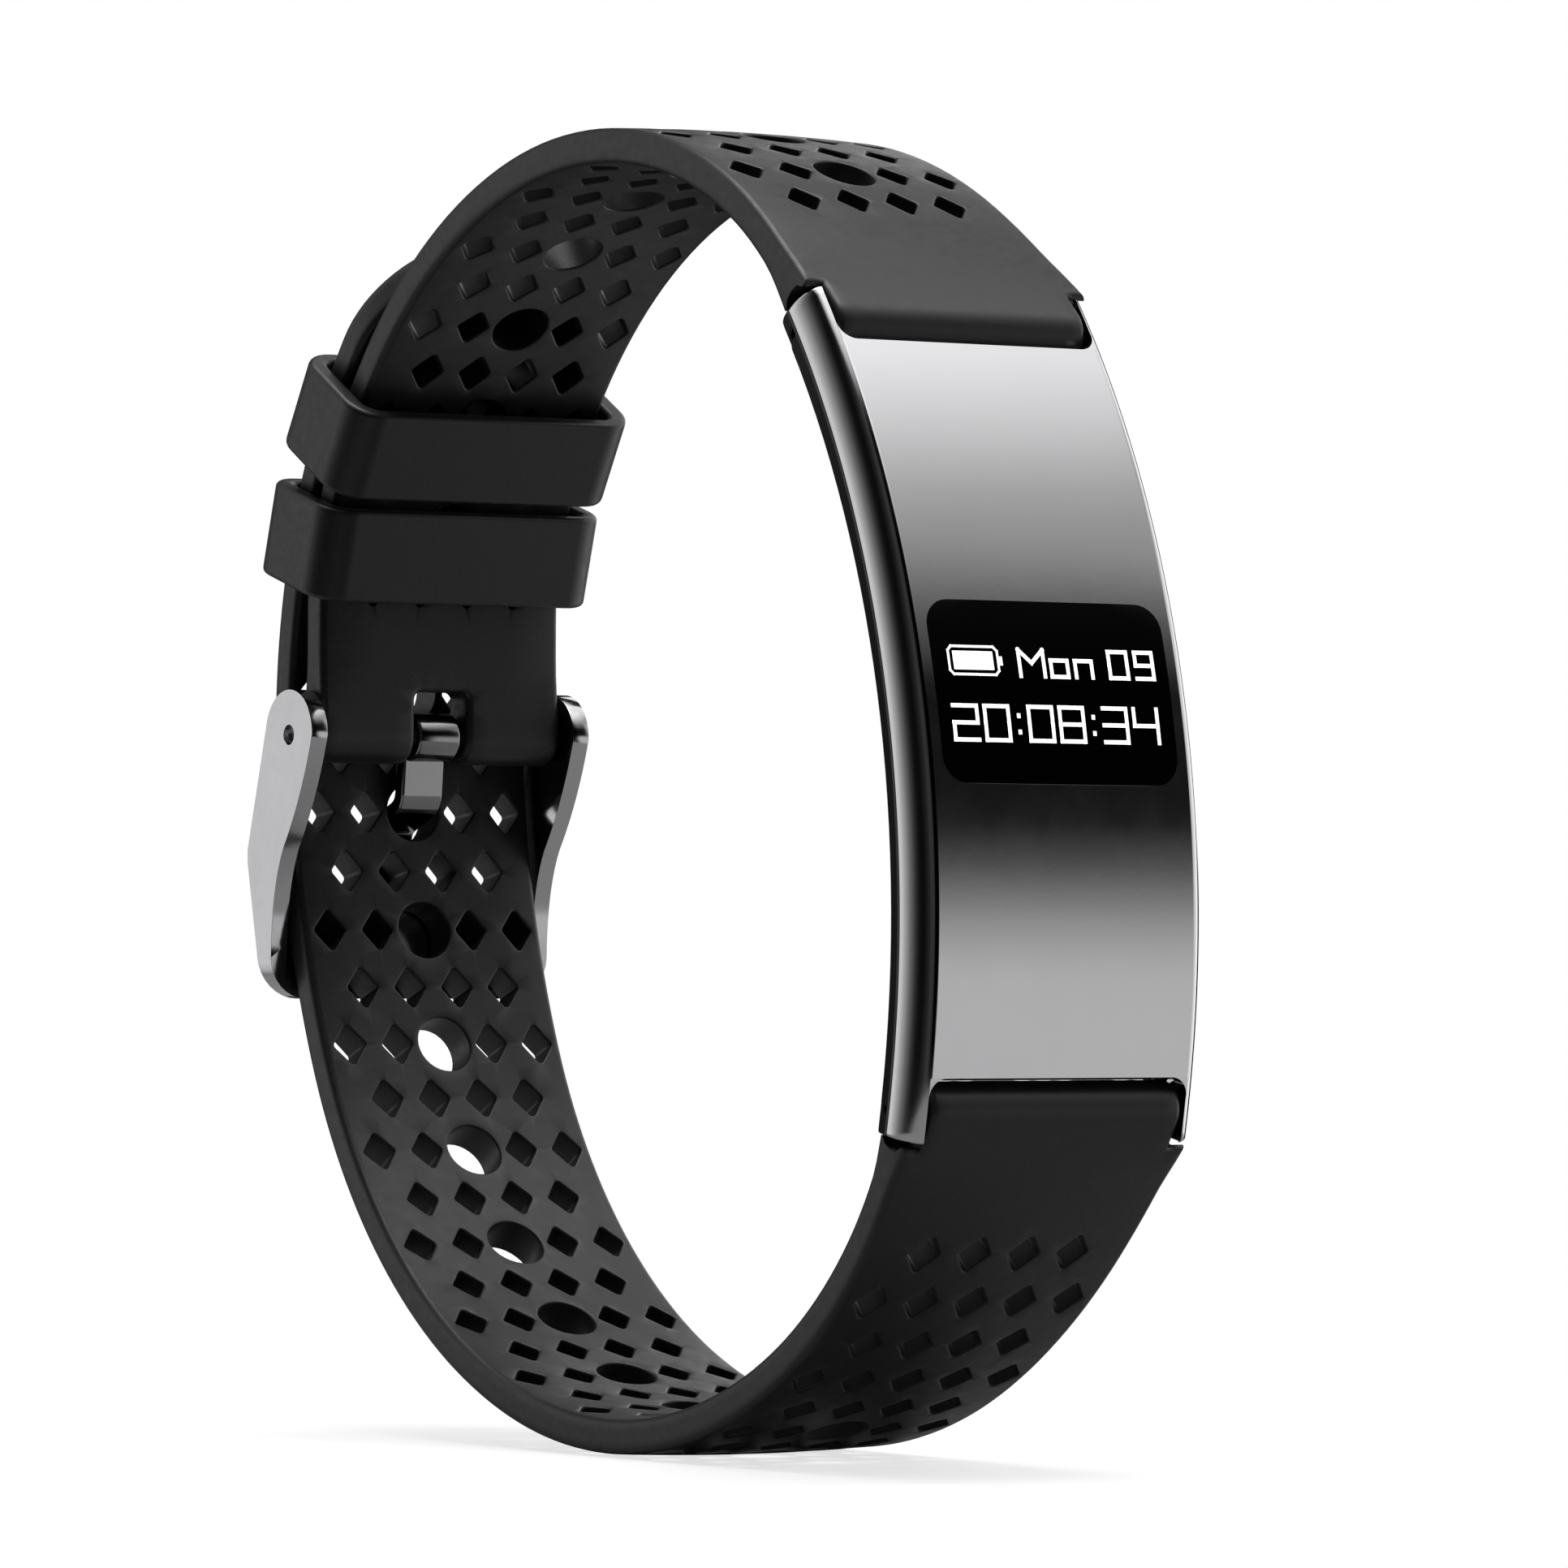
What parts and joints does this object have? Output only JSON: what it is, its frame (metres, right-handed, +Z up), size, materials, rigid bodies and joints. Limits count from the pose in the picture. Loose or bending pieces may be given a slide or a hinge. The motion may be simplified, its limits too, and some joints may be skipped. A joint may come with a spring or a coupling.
{
  "type": "fitness tracker band",
  "caption": "Slim fitness tracker: a curved metal-faced body with a small black display on a perforated, buckled silicone strap.",
  "frame": {"origin": "centre of the bounding box of the buckled band", "axes": "+X across the strap, -Y out of the display, +Z up the display"},
  "size_m": [0.0188, 0.0684, 0.0726],
  "materials": {
    "case_metal": "polished dark grey",
    "display_glass": "glossy black",
    "seal": "matte",
    "panel": "glossy",
    "flex": "matte",
    "circuit_board": "matte",
    "chips": "matte",
    "battery_wrap": "satin",
    "motor_steel": "satin",
    "antenna_plastic": "matte",
    "sensor_led": "glossy",
    "sensor_glass": "glossy dark",
    "contact_gold": "polished",
    "cover_gloss": "glossy black",
    "screw_steel": "satin",
    "strap_silicone": "matte, very fine grain",
    "bar_steel": "satin",
    "buckle_metal": "polished dark grey",
    "tongue_metal": "polished dark grey",
    "keeper_silicone": "matte, very fine grain"
  },
  "bodies": {
    "tracker": {"case_frame": "case_metal", "display_lens": "display_glass", "lens_seal": "seal", "display_panel": "panel", "display_flex": "flex", "main_board": "circuit_board", "board_chips": "chips", "battery": "battery_wrap", "vibration_motor": "motor_steel", "antenna": "antenna_plastic", "sensor_board": "circuit_board", "sensor_lights": "sensor_led", "sensor_lens": "sensor_glass", "charge_contacts": "contact_gold", "body_gasket": "seal", "back_cover": "cover_gloss", "case_screws": "screw_steel"},
    "strap_loop": {"upper_strap": "strap_silicone", "lower_strap": "strap_silicone", "upper_bar_tube": "bar_steel", "lower_bar_tube": "bar_steel", "upper_bar_spring": "bar_steel", "lower_bar_spring": "bar_steel"},
    "upper_tip_left": {"upper_tip_left": "bar_steel"},
    "upper_tip_right": {"upper_tip_right": "bar_steel"},
    "lower_tip_left": {"lower_tip_left": "bar_steel"},
    "lower_tip_right": {"lower_tip_right": "bar_steel"},
    "buckle": {"buckle_frame": "buckle_metal", "buckle_pin": "bar_steel"},
    "tongue": {"tongue": "tongue_metal"},
    "upper_keeper": {"upper_keeper": "keeper_silicone"},
    "lower_keeper": {"lower_keeper": "keeper_silicone"}
  },
  "joints": [
    {"name": "upper_lug_pivot", "type": "hinge", "parent": "tracker", "child": "strap_loop", "pos_m": [0, -0.02317, 0.0242], "axis": [1, 0, 0], "range_deg": [0, 24]},
    {"name": "upper_tip_left_slide", "type": "slide", "parent": "strap_loop", "child": "upper_tip_left", "axis": [1, 0, 0], "range_m": [0, 0.001], "stiffness_N_per_m": 50, "springref_m": -0.0005},
    {"name": "upper_tip_right_slide", "type": "slide", "parent": "strap_loop", "child": "upper_tip_right", "axis": [-1, 0, 0], "range_m": [0, 0.001], "stiffness_N_per_m": 50, "springref_m": -0.0005},
    {"name": "lower_tip_left_slide", "type": "slide", "parent": "strap_loop", "child": "lower_tip_left", "axis": [-1, 0, 0], "range_m": [0, 0.00095]},
    {"name": "lower_tip_right_slide", "type": "slide", "parent": "strap_loop", "child": "lower_tip_right", "axis": [1, 0, 0], "range_m": [0, 0.00095]},
    {"name": "buckle_hinge", "type": "hinge", "parent": "strap_loop", "child": "buckle", "pos_m": [0, 0.02937, 0.0035], "axis": [1, 0, 0], "range_deg": [0, 4]},
    {"name": "tongue_hinge", "type": "hinge", "parent": "buckle", "child": "tongue", "pos_m": [0, 0.02937, 0.0035], "axis": [1, 0, 0], "range_deg": [0, 1.8]},
    {"name": "upper_keeper_slide", "type": "hinge", "parent": "strap_loop", "child": "upper_keeper", "pos_m": [0, 0.00122, 0.00625], "axis": [1, 0, 0], "range_deg": [0, 5]},
    {"name": "lower_keeper_slide", "type": "hinge", "parent": "strap_loop", "child": "lower_keeper", "pos_m": [0, 0.00122, 0.00625], "axis": [1, 0, 0], "range_deg": [0, 0.9]}
  ]
}
